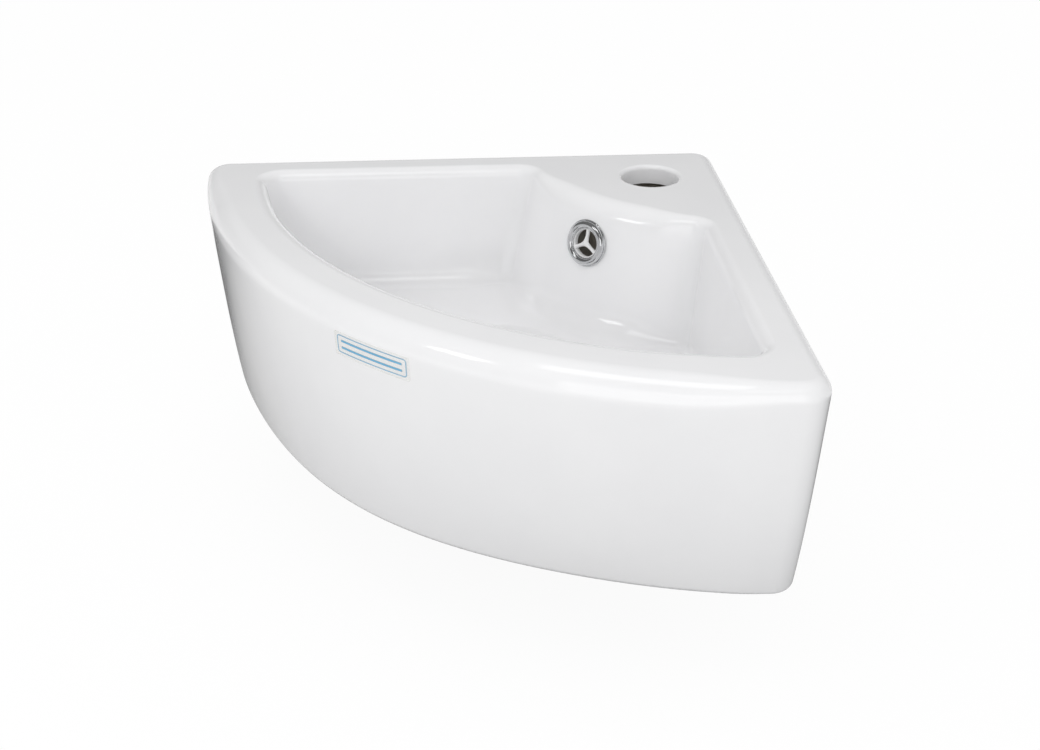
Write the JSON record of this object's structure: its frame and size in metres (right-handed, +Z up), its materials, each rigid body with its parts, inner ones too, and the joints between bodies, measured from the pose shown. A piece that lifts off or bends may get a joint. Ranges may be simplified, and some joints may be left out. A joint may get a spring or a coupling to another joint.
{
  "type": "corner basin",
  "caption": "Wall-hung quarter-round corner basin in glazed china with a tap deck, a chrome overflow ring and a push-open plug waste with a short outlet tube.",
  "frame": {"origin": "the corner of the room at rim height: the point where the two wall planes and the plane of the rim's top meet", "axes": "+Z up; the walls are the planes x = 0 (facing -X) and y = 0 (facing -Y), and the basin lies towards -X and -Y; its diagonal of symmetry runs from the origin towards (-1, -1, 0)"},
  "size_m": [0.3188, 0.3188, 0.1781],
  "materials": {
    "glazed_china": "glossy clear glaze over white china",
    "chrome_plate": "bright chrome plate",
    "brass": "machined brass",
    "black_rubber": "matt moulded rubber",
    "grey_gasket": "soft silicone sheet",
    "white_nylon": "moulded nylon",
    "spring_steel": "drawn stainless wire",
    "clear_film": "clear adhesive film with a printed pale blue frame"
  },
  "bodies": {
    "basin": {"basin_body": "glazed_china", "overflow_trim_ring": "chrome_plate", "overflow_spider": "chrome_plate", "overflow_sleeve": "black_rubber", "waste_body": "chrome_plate", "flange_gasket": "grey_gasket", "tapered_washer": "black_rubber", "friction_washer": "white_nylon", "backnut": "brass", "tailpiece": "chrome_plate", "tailpiece_seal": "black_rubber", "click_case": "brass", "click_base": "brass", "click_spring": "spring_steel", "apron_film": "clear_film"},
    "plug": {"plug_cap": "chrome_plate", "plug_seal": "black_rubber", "click_plunger": "brass"},
    "index": {"click_index_ring": "white_nylon"}
  },
  "joints": [
    {"name": "plug_press", "type": "slide", "parent": "basin", "child": "plug", "axis": [0, 0, 1], "range_m": [-0.008, 0], "stiffness_N_per_m": 300, "springref_m": 0.01, "deforming": ["click_spring"]},
    {"name": "index_turn", "type": "hinge", "parent": "plug", "child": "index", "pos_m": [-0.14708, -0.14708, -0.08365], "axis": [0, 0, 1], "range_deg": [0, 22.5]}
  ],
  "couplings": [
    {"joint": "index_turn", "follows": "plug_press", "rad_per_m": -49.066}
  ]
}
